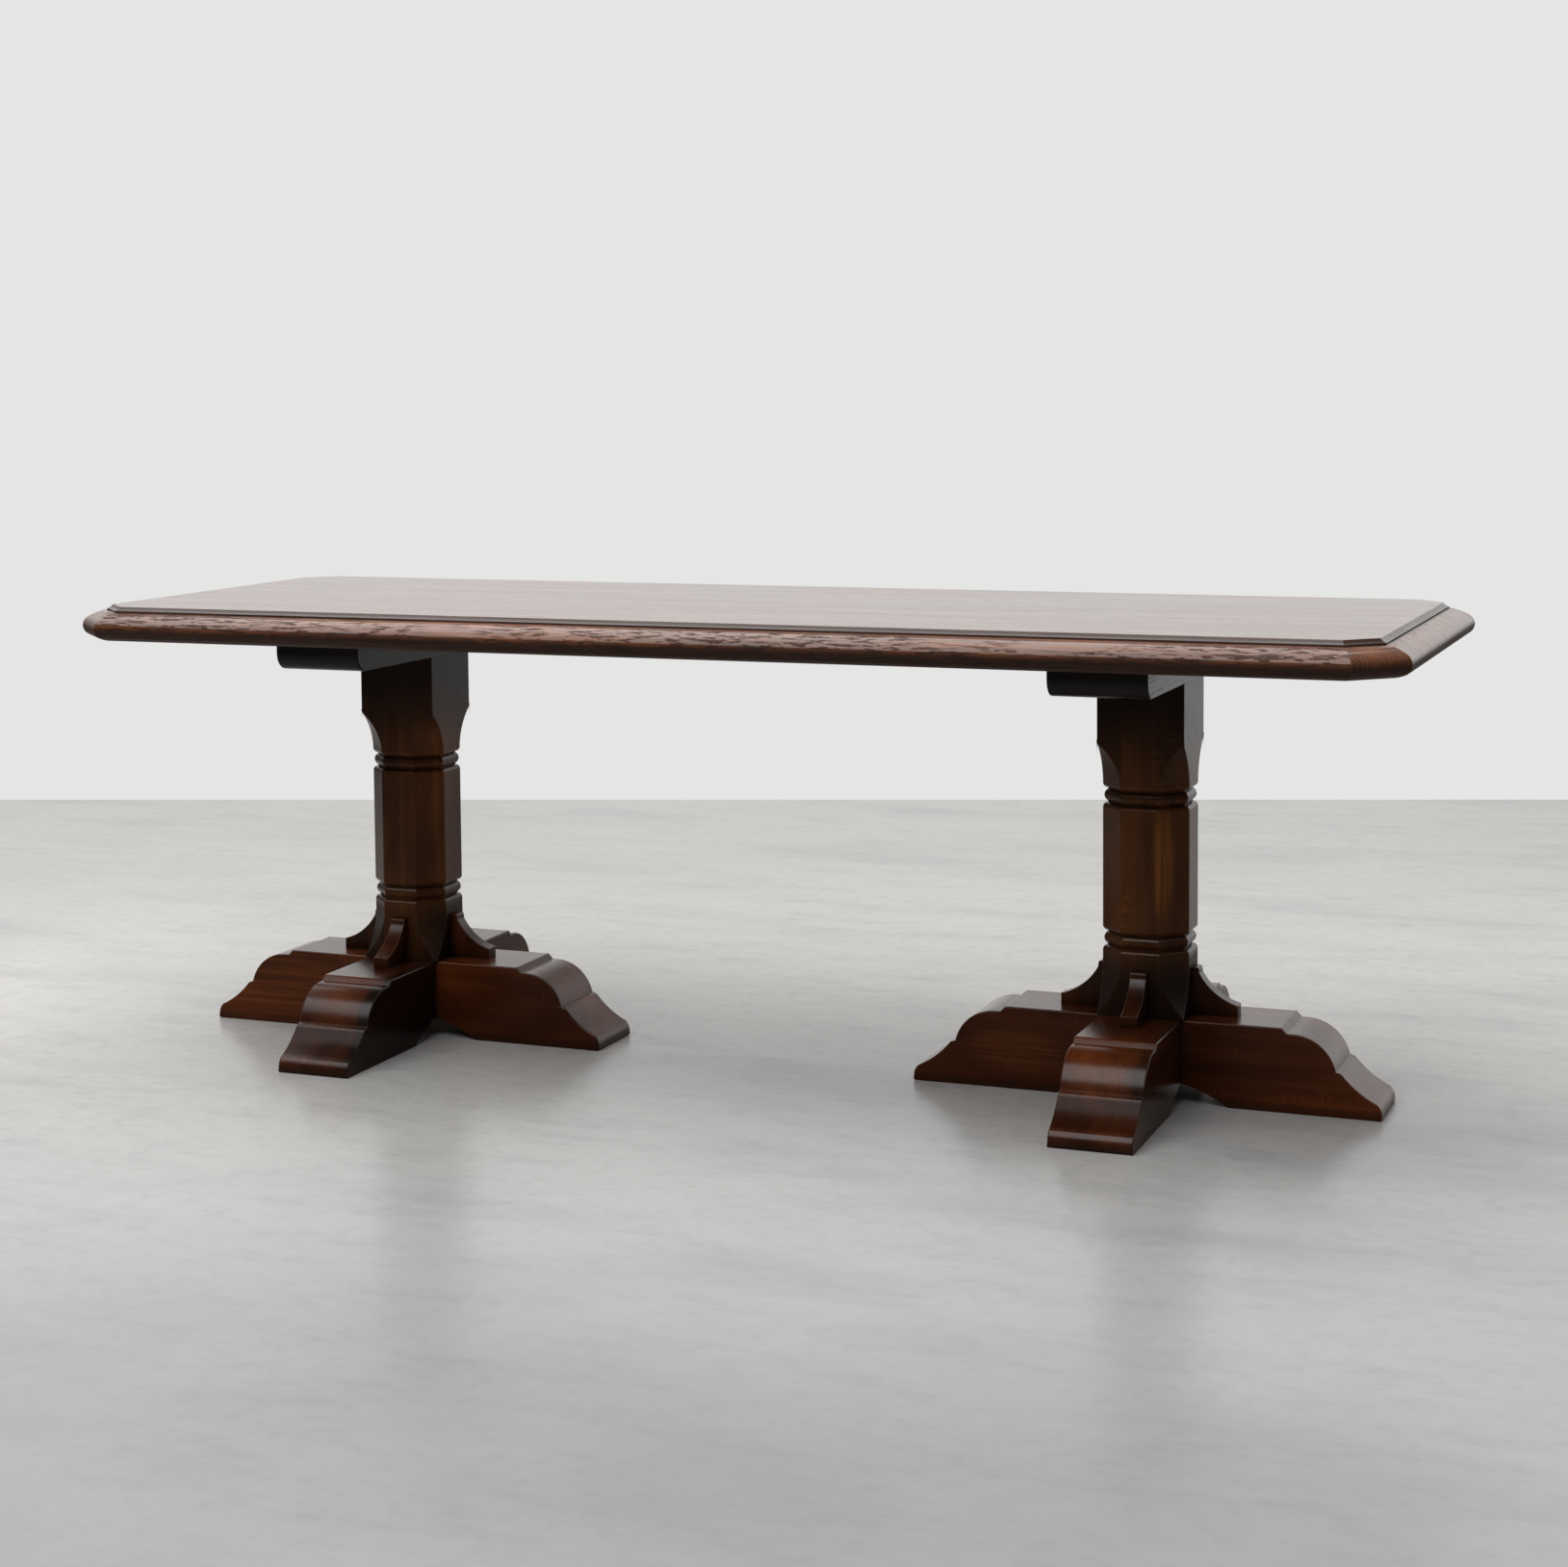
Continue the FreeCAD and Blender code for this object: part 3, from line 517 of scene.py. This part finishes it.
def shade_of(wood, lie, grain, shade_and_stain, tones, work):
    """The colour, from the rings out to the arrises, which are painted lighter, partly as rubbed and partly
    as a painted highlight.
    """
    fibre = grain.fibre.step(*SHOWS.fibre) * figured(SHARES.fibre, work)
    pitted = (grain.pores * work.pores).larger(grain.furrows * SHARES.furrows)
    streaks = grain.streaks.step(*SHOWS.streaks) * figured(SHARES.streaks, work)
    shade = wood.blend(grain.spring * work.figure, tones.summer, tones.spring)
    shade = wood.blend(grain.rays * SHARES.rays, shade, tones.fleck)
    shade = wood.blend(fibre, shade, tones.spring)
    shade = wood.blend(pitted, shade, tones.pore_and_shade)
    shade = wood.blend(streaks, shade, tones.fleck)
    tint = wood.node("ShaderNodeValToRGB", {"stops": CLOUD_STOPS}, {"Fac": grain.clouds})
    shade = wood.blend(work.clouds, shade, wood.blend(1.0, shade, tint, "MULTIPLY"))
    # The field is greyed, partly as rubbed by use and partly as a painted sheen of its grazing reflection
    if work.brushed:
        shade = wood.blend(lie.level.step(*FIELD_LEVEL) * SHARES.field, shade, tones.rubbed)
    # Darker where shade is painted and in the darker bands and patches
    shade = wood.blend(shade_and_stain.dark, shade, tones.pore_and_shade)
    if shade_and_stain.thin:
        shade = wood.blend(shade_and_stain.thin, shade, tones.fleck)
    # Lighter free arrises: partly rubbed by use, partly a painted highlight along the edges
    free_arris = lie.arris * lie.open_sky.step(*SHOWS.free_arris)
    worn_and_sheen = free_arris * grain.clouds.step(*SHOWS.arris_clouds) * work.wear
    return wood.blend(worn_and_sheen, shade, tones.worn_and_sheen)


def roughness_of(lie, grain, shade_and_stain, work):
    roughness = work.roughness + grain.spring * (ROUGH_SHARES.spring * work.figure)
    roughness = roughness + grain.pores * ROUGH_SHARES.pores
    roughness = roughness + (grain.clouds - NOISE_MIDDLE) * ROUGH_SHARES.clouds
    roughness = roughness + shade_and_stain.sooty * ROUGH_SHARES.soot + shade_and_stain.underside_shade * work.matt_under
    for band, share in work.matt:
        roughness = roughness + lie.level.within(band) * share
    return roughness


def relief_of(wood, lie, grain, work):
    """The summer wood stands proud, and pores and furrows lie deep."""
    pitted = grain.pores + FURROW_DEPTH * grain.furrows - grain.fibre
    height = (1 - grain.spring) * work.ring_relief - pitted * work.pore_relief
    return wood.node(
        "ShaderNodeBump", {}, {"Height": height, "Distance": 1.0, "Normal": lie.soft_normal})


def oak(name, node, axis, heart, tones, work):
    """Oak as a solid log: rings about a heart that lies at an offset from the piece's middle."""
    wood = Finish(bpy.data.materials.new(name))
    low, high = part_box(node)
    middle = (low + high) / 2
    turn = GRAIN_TURNS[axis]
    shift = Vector(heart) - turn.to_matrix() @ middle
    spot = wood.node("ShaderNodeTexCoord", output="Object")
    log = wood.node(
        "ShaderNodeMapping", {"vector_type": "POINT"},
        {"Vector": spot, "Location": shift, "Rotation": turn})
    lie = lie_of(wood, spot)
    grain = grain_of(wood, log, lie, work)
    shade_and_stain = shade_and_stain_of(wood, node, middle, lie, grain, work)
    wood.surface({
        "Base Color": shade_of(wood, lie, grain, shade_and_stain, tones, work),
        "Roughness": roughness_of(lie, grain, shade_and_stain, work),
        "Specular IOR Level": work.gloss,
        "Coat Weight": polish_of(lie, grain, work),
        "Coat Roughness": work.coat_roughness,
        "Coat IOR": VARNISH_IOR,
        "Normal": relief_of(wood, lie, grain, work),
    })
    return wood.owner


# Steel

NAIL_TONE = colour(0.012, 0.011, 0.010)
NAIL_ROUGHNESS = 0.5
SCREW_TONE = colour(0.34, 0.32, 0.30)
SCREW_ROUGHNESS = 0.30
TARNISH_TONE = colour(0.035, 0.030, 0.027)
TARNISH_NOISE = (240.0, 4.0, 0.6)
TARNISH_SHOWS = (0.35, 0.7)
TARNISH_ROUGHNESS = 0.25
SCRATCH_FINENESS = (900.0, 90.0, 900.0)
SCRATCH_NOISE = (1.0, 2.0, 0.5)
SCRATCH_RELIEF = 0.00004
STEEL_METALLIC = 0.9


def dark_steel(name, tone, roughness):
    steel = Finish(bpy.data.materials.new(name))
    spot = steel.node("ShaderNodeTexCoord", output="Object")
    tarnish = steel.noise(spot, *TARNISH_NOISE)
    scratches = steel.noise(steel.vector("MULTIPLY", spot, SCRATCH_FINENESS), *SCRATCH_NOISE)
    shade = steel.blend(tarnish.step(*TARNISH_SHOWS), tone, TARNISH_TONE)
    bump = steel.node("ShaderNodeBump", {}, {"Height": scratches * SCRATCH_RELIEF, "Distance": 1.0})
    steel.surface({
        "Base Color": shade,
        "Metallic": STEEL_METALLIC,
        "Roughness": roughness + tarnish * TARNISH_ROUGHNESS,
        "Normal": bump,
    })
    return steel.owner


# Modelling

def pick(piece):
    """Make one object the only one selected."""
    bpy.ops.object.select_all(action="DESELECT")
    piece.select_set(True)
    bpy.context.view_layer.objects.active = piece


def paint_piece(piece, material):
    piece.data.materials.clear()
    piece.data.materials.append(material)


def dress(piece, node, material):
    """Give a finished piece its material and let it stand for its node."""
    paint_piece(piece, material)
    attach(piece, "root")
    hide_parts(node)


def bowed(first, last, bow, steps):
    """Points of a shallow curve after its first, bowed at its middle."""
    for number in range(1, steps + 1):
        share = number / steps
        crown = 4 * share * (1 - share)
        yield tuple(a + (b - a) * share + c * crown for a, b, c in zip(first, last, bow))


def nose_points(last_turn, side):
    """The nose from the land at its middle, up (1) or down (-1): (in, down)."""
    points = []
    for number in range(NOSE_STEPS + 1):
        turn = math.radians(NOSE_LAND_TURN + (last_turn - NOSE_LAND_TURN) * number / NOSE_STEPS)
        run = NOSE_RADIUS * (1 - math.cos(turn)) if number else 0
        points.append((run, NOSE_DROP - side * NOSE_RADIUS * math.sin(turn)))
    return points


def moulding_points():
    """The convex part of the moulded edge, from its nose up to the quirk and down to the underside."""
    quirk = (EDGE_REACH - BEVEL_RUN, BEVEL_DROP + QUIRK_DROP)
    upper = nose_points(SHOULDER_TURN, 1)
    upper += bowed(upper[-1], quirk, (0, -SHOULDER_CROWN), SHOULDER_STEPS)
    lower = nose_points(UNDERTURN, -1)
    lower += bowed(lower[-1], (UNDER_RUN, TOP_THICKNESS), (0, UNDER_CROWN), UNDER_STEPS)
    return upper, lower


def select_corners(slab):
    """Select the upright edges, in edit mode."""
    bpy.ops.mesh.select_all(action="DESELECT")
    bpy.ops.mesh.select_mode(type="EDGE")
    mesh = bmesh.from_edit_mesh(slab.data)
    for edge in mesh.edges:
        edge.select_set(edge.verts[0].co.xy == edge.verts[1].co.xy)
    bmesh.update_edit_mesh(slab.data)


def select_level_face(slab, side):
    """Select the highest (1) or the lowest (-1) level face, in edit mode."""
    def outwards(face):
        return round(side * face.calc_center_median().z, LEVEL_DIGITS), side * face.normal.z

    bpy.ops.mesh.select_all(action="DESELECT")
    mesh = bmesh.from_edit_mesh(slab.data)
    max(mesh.faces, key=outwards).select_set(True)
    bmesh.update_edit_mesh(slab.data)


def draw_in(points):
    """Draw the selected face in and out along a profile."""
    for (start_in, start_down), (end_in, end_down) in zip(points, points[1:]):
        bpy.ops.mesh.inset(
            thickness=end_in - start_in, depth=abs(end_down - start_down), use_even_offset=True)


def moulded_top():
    """The whole top: a slab drawn in above and below its nose, with its field raised on a quirk."""
    low, high = cad_box
    upper, lower = moulding_points()
    land_top = high.z - upper[0][1]
    land_bottom = high.z - lower[0][1]
    bpy.ops.object.select_all(action="DESELECT")
    bpy.ops.mesh.primitive_cube_add(
        size=1, location=(0, 0, (land_top + land_bottom) / 2),
        scale=(high.x - low.x, high.y - low.y, land_top - land_bottom))
    slab = bpy.context.object
    slab.name = "moulded_top"
    bpy.ops.object.transform_apply(location=True, rotation=True, scale=True)
    bpy.ops.object.mode_set(mode="EDIT")
    select_corners(slab)
    bpy.ops.mesh.bevel(offset=CORNER_CLIP, offset_type="OFFSET", segments=1, affect="EDGES")
    for side, points in ((1, upper), (-1, lower)):
        select_level_face(slab, side)
        draw_in(points)
    select_level_face(slab, 1)
    bpy.ops.mesh.extrude_region_move(TRANSFORM_OT_translate={"value": (0, 0, QUIRK_DROP)})
    across_share, down_share = BEVEL_HOLLOW_SHARES
    bow = ((0.5 - across_share) * BEVEL_RUN, (0.5 - down_share) * BEVEL_DROP)
    draw_in([(0, 0), *bowed((0, 0), (BEVEL_RUN, BEVEL_DROP), bow, BEVEL_STEPS)])
    bpy.ops.mesh.select_all(action="SELECT")
    bpy.ops.mesh.normals_make_consistent(inside=False)
    bpy.ops.object.mode_set(mode="OBJECT")
    return slab


def saw_off(place, normal):
    """Take off all that lies beyond a plane, and close the cut."""
    bpy.ops.mesh.select_all(action="SELECT")
    bpy.ops.mesh.bisect(
        plane_co=place, plane_no=normal, use_fill=True, clear_outer=True, threshold=CUT_GAP)


def sawn_board(number, slab):
    """One board, parted from the top at its joints."""
    low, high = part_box(f"top_board_{number}")
    board = bpy.data.objects.new(f"planed_board_{number}", slab.data.copy())
    bpy.context.scene.collection.objects.link(board)
    pick(board)
    bpy.ops.object.mode_set(mode="EDIT")
    if number > 1:
        saw_off((0, low.y, 0), (0, -1, 0))
    if number < BOARD_COUNT:
        saw_off((0, high.y, 0), (0, 1, 0))
    bpy.ops.object.mode_set(mode="OBJECT")
    bpy.ops.object.shade_smooth_by_angle(angle=math.radians(MOULDING_SMOOTH_TURN))
    return board


def on_arris(kind, middle, edge):
    """Whether an edge is one that use has rubbed: in sight, and not at a joint."""
    if len(edge.link_faces) != 2 or edge.calc_length() < SHORTEST_ARRIS:
        return False
    if edge.calc_face_angle_signed() < math.radians(SHARP_TURN):
        return False
    ends = [vertex.co for vertex in edge.verts]
    run = ends[1] - ends[0]
    heights = [end.z for end in ends]
    offsets = [end - middle for end in ends]
    if kind == "post":
        upright = abs(run.z) > UPRIGHT_SHARE * run.length
        above_foot = min(heights) > FOOT_HEIGHT - TOUCH
        return upright and above_foot and max(heights) < BEARER_UNDERSIDE + TOUCH
    if kind == "bracket":
        on_foot = max(heights) < FOOT_HEIGHT + TOUCH
        on_post = all(max(abs(offset.x), abs(offset.y)) < POST_HALF + TOUCH for offset in offsets)
        return not (on_foot or on_post)
    if kind == "bearer":
        on_flank = all(abs(offset.x) > BEARER_FLANK for offset in offsets)
        return on_flank and max(heights) < BEARER_UNDERSIDE + BEARER_END_RISE
    return any(max(abs(offset.x), abs(offset.y)) > FOOT_HALF + TOUCH for offset in offsets)


def softened(node, kind, axis_x):
    """A copy of a pedestal's piece with its arrises rubbed round."""
    piece = bpy.data.objects.new(f"rubbed_{node}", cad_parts[node].data.copy())
    bpy.context.scene.collection.objects.link(piece)
    pick(piece)
    bpy.ops.object.mode_set(mode="EDIT")
    bpy.ops.mesh.customdata_custom_splitnormals_clear()
    bpy.ops.mesh.select_all(action="SELECT")
    bpy.ops.mesh.remove_doubles(threshold=WELD_GAP)
    bpy.ops.mesh.dissolve_limited(angle_limit=math.radians(FLAT_TURN))
    bpy.ops.mesh.select_all(action="DESELECT")
    bpy.ops.mesh.select_mode(type="EDGE")
    mesh = bmesh.from_edit_mesh(piece.data)
    for edge in mesh.edges:
        edge.select_set(on_arris(kind, Vector((axis_x, 0, 0)), edge))
    bmesh.update_edit_mesh(piece.data)
    bpy.ops.mesh.bevel(
        offset=ARRIS_WIDTHS[kind], offset_type="OFFSET", segments=ARRIS_STEPS, profile=ROUND_PROFILE,
        clamp_overlap=False)
    bpy.ops.mesh.select_all(action="SELECT")
    bpy.ops.mesh.dissolve_degenerate(threshold=WELD_GAP)
    bpy.ops.object.mode_set(mode="OBJECT")
    bpy.ops.object.shade_smooth_by_angle(angle=math.radians(SMOOTH_TURN))
    bpy.ops.object.modifier_add(type="WEIGHTED_NORMAL")
    piece.modifiers[-1].keep_sharp = True
    bpy.ops.object.modifier_apply(modifier=piece.modifiers[-1].name)
    return piece


# Top

BOARD_HEARTS = (
    (0.35, -0.34, 0.03), (1.9, 0.27, -0.05), (3.1, -0.30, 0.06), (4.4, 0.33, 0.04), (5.2, -0.26, -0.06),
    (6.6, 0.31, 0.02))
TONGUE_HEART = (0.4, 0.12, 0.05)
slab = moulded_top()
for number, heart in enumerate(BOARD_HEARTS, start=1):
    node = f"top_board_{number}"
    finish = oak(f"oak_board_{number}", node, "X", heart, TOP_TONES, BRUSHED_TOP)
    dress(sawn_board(number, slab), node, finish)
bpy.data.objects.remove(slab)
bare_oak = oak("bare_oak", "top_tongue_3", "X", TONGUE_HEART, BARE_TONES, SAWN_TONGUE)
for number in range(1, BOARD_COUNT):
    paint_piece(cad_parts[f"top_tongue_{number}"], bare_oak)

# Pedestals

TIMBERS = {
    "bearer": ("Y", (0.7, 0.11, 0.05), BEARER_TONES, BLACK_BEARER),
    "post": ("Z", (1.6, 0.045, -0.105), POST_TONES, SATIN_POST),
    "long_sleeper": ("X", (2.3, 0.03, -0.13), FOOT_TONES, GLOSSY_FOOT),
    "cross_sleeper": ("Y", (3.7, -0.04, -0.12), FOOT_TONES, DULL_FOOT),
}
BRACKET_HEART = (0, 0.06, 0.04)


def heart_at(side_sign, heart, shift=0):
    """Where the heart lies in a piece of one side."""
    along, across, up = heart
    return (along + shift + side_sign, across, up * side_sign)


for side, sign in SIDES.items():
    post_low, post_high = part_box(f"post_{side}")
    axis_x = (post_low.x + post_high.x) / 2
    for kind, (axis, heart, tones, work) in TIMBERS.items():
        node = f"{kind}_{side}"
        finish = oak(f"oak_{node}", node, axis, heart_at(sign, heart), tones, work)
        dress(softened(node, kind.split("_")[-1], axis_x), node, finish)
    for number, place in enumerate(BRACKET_PLACES):
        node = f"bracket_{side}_{place}"
        heart = heart_at(sign, BRACKET_HEART, number)
        finish = oak(f"oak_{node}", node, "Z", heart, BRACKET_TONES, GLOSSY_FOOT)
        dress(softened(node, "bracket", axis_x), node, finish)

# Fasteners

paint_piece(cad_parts["bracket_nails"], dark_steel("nail_steel", NAIL_TONE, NAIL_ROUGHNESS))
paint_piece(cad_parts["bearer_screws"], dark_steel("screw_steel", SCREW_TONE, SCREW_ROUGHNESS))

# Stage: the floor is turned so that its far edge lies level in the picture

FLOOR_YAW = -18.5
FLOOR_BACK = 2.76
FLOOR_FRONT = 4.2
FLOOR_SIDE = 9
FLOOR_GLOSS = 0.5
FLOOR_ROUGHNESS = 0.17
FLOOR_VEIL_ROUGHNESS = 0.16

# Marks of the floor: their fineness along each axis, then scale, detail and roughness of their noise
FLOOR_MARKS = {
    "clouds": ((1.0, 1.0, 1.0), 1.1, 6.0, 0.62),
    "veils": ((0.5, 1.6, 1.0), 2.3, 5.0, 0.6),
    "streaks": ((2.2, 6.0, 1.0), 2.0, 5.0, 0.68),
    "grit": ((1.0, 1.0, 1.0), 30.0, 4.0, 0.65),
}

# Colours of the floor over that of its front: what they follow, where they start and are full, their share
FLOOR_FRONT_TONE = colour(0.385, 0.389, 0.395)
FLOOR_LAYERS = (
    # Painted light: the back and right layers paint the floor lighter about and behind the table than in
    # front, a little less far back, and lighter to the right, to even out the lamp's light
    ("back", (-2.1, 0.5), 1.0, colour(0.715, 0.694, 0.665)),
    ("back", (0.0, 2.2), 1.0, colour(0.510, 0.494, 0.470)),
    ("right", (-1.0, 2.6), 0.32, colour(0.84, 0.82, 0.79)),
    ("clouds", (0.34, 0.66), 0.34, colour(0.62, 0.612, 0.595)),
    ("veils", (0.46, 0.72), 0.36, colour(0.36, 0.366, 0.375)),
    ("streaks", (0.47, 0.70), 0.26, colour(0.35, 0.352, 0.355)),
    ("grit", (0.45, 0.72), 0.24, colour(0.36, 0.36, 0.36)),
)

# The room's light: pale behind the table, fading out to the sides and upwards
PALE_HEADING = 10
PALE_SIDES = (0.30, 0.62)
PALE_TOP = (0.34, 0.60)
CEILING_START = (0.40, 0.70)
PALE_TONE = colour(0.79, 0.79, 0.785)
ROOM_TONE = colour(0.05, 0.05, 0.05)
CEILING_TONE = colour(0.25, 0.25, 0.25)
BACKDROP_TONE = colour(0.785, 0.785, 0.78)
LAMP_PLACE = Vector((-1.5, -1.7, 5.2))
LAMP_AIM = Vector((-1.5, -1.7, 0))
LAMP_WIDTH = 6.7
LAMP_DEPTH = 11.8
LAMP_POWER = 500


def heading_of(yaw):
    """The level directions back and right in a room that is turned."""
    turn = math.radians(yaw)
    return (math.sin(turn), math.cos(turn), 0.0), (math.cos(turn), -math.sin(turn), 0.0)


def floor_paint():
    paint = Finish(bpy.data.materials.new("pale_floor"))
    spot = paint.node("ShaderNodeTexCoord", output="Object")
    back, right = heading_of(FLOOR_YAW)
    marks = {"back": paint.measure(spot, back), "right": paint.measure(spot, right)}
    for mark, (fineness, scale, detail, roughness) in FLOOR_MARKS.items():
        place = paint.vector("MULTIPLY", spot, fineness)
        marks[mark] = paint.noise(place, scale, detail, roughness)
    shade = FLOOR_FRONT_TONE
    for mark, limits, share, tone in FLOOR_LAYERS:
        shade = paint.blend(marks[mark].step(*limits) * share, shade, tone)
    paint.surface({
        "Base Color": shade,
        "Roughness": FLOOR_ROUGHNESS + marks["veils"] * FLOOR_VEIL_ROUGHNESS,
        "Specular IOR Level": FLOOR_GLOSS,
    })
    return paint.owner


def lay_floor():
    bpy.ops.object.select_all(action="DESELECT")
    bpy.ops.mesh.primitive_plane_add(size=1, location=(0, (FLOOR_BACK - FLOOR_FRONT) / 2, 0))
    floor = bpy.context.object
    floor.name = "floor"
    floor.scale = (2 * FLOOR_SIDE, FLOOR_BACK + FLOOR_FRONT, 1)
    bpy.ops.object.transform_apply(location=True, rotation=True, scale=True)
    floor.rotation_euler.z = math.radians(-FLOOR_YAW)
    bpy.ops.object.transform_apply(location=False, rotation=True, scale=False)
    floor.data.materials.append(floor_paint())


def hang_sky():
    """Pale light behind the table, a dimmer room before and above it."""
    world = bpy.data.worlds.new("studio")
    bpy.context.scene.world = world
    sky = Finish(world)
    ray = sky.node("ShaderNodeTexCoord", output="Generated")
    rise = sky.axes(ray)[2]
    back, _ = heading_of(PALE_HEADING)
    pale = sky.measure(ray, back).step(*PALE_SIDES) * (1 - rise.step(*PALE_TOP))
    room = sky.blend(pale, ROOM_TONE, PALE_TONE)
    room = sky.blend(rise.step(*CEILING_START), room, CEILING_TONE)
    light_path = sky.node("ShaderNodeLightPath").socket.node.outputs
    camera_ray = Signal(sky, light_path["Is Camera Ray"])
    glass_ray = Signal(sky, light_path["Is Transmission Ray"])
    shade = sky.blend(camera_ray.larger(glass_ray), room, BACKDROP_TONE)
    shader = sky.node("ShaderNodeBackground", {}, {"Color": shade, "Strength": 1.0})
    sky.node("ShaderNodeOutputWorld", {}, {"Surface": shader})


def hang_lamp():
    lamp = bpy.data.lights.new("ceiling", "AREA")
    lamp.shape = "RECTANGLE"
    lamp.size = LAMP_WIDTH
    lamp.size_y = LAMP_DEPTH
    lamp.energy = LAMP_POWER
    holder = bpy.data.objects.new("ceiling", lamp)
    holder.location = LAMP_PLACE
    holder.rotation_euler = (LAMP_AIM - LAMP_PLACE).to_track_quat("-Z", "Y").to_euler()
    bpy.context.scene.collection.objects.link(holder)


def set_camera():
    lens = bpy.data.cameras.new("photo_camera")
    lens.sensor_width = SENSOR_WIDTH
    lens.lens = FOCAL_PIXELS * SENSOR_WIDTH / PICTURE_WIDTH
    lens.shift_x = (PICTURE_WIDTH / 2 - AXIS_PIXEL[0]) / PICTURE_WIDTH
    lens.shift_y = (AXIS_PIXEL[1] - PICTURE_HEIGHT / 2) / PICTURE_WIDTH
    camera = bpy.data.objects.new("photo_camera", lens)
    turn = (Matrix.Rotation(math.radians(-CAMERA_YAW), 4, "Z")
            @ Matrix.Rotation(math.radians(90 - CAMERA_PITCH), 4, "X")
            @ Matrix.Rotation(math.radians(CAMERA_ROLL), 4, "Z"))
    camera.matrix_world = Matrix.Translation(CAMERA_PLACE) @ turn
    bpy.context.scene.collection.objects.link(camera)
    bpy.context.scene.camera = camera


lay_floor()
hang_sky()
hang_lamp()
set_camera()
bpy.context.scene.view_settings.view_transform = "Standard"
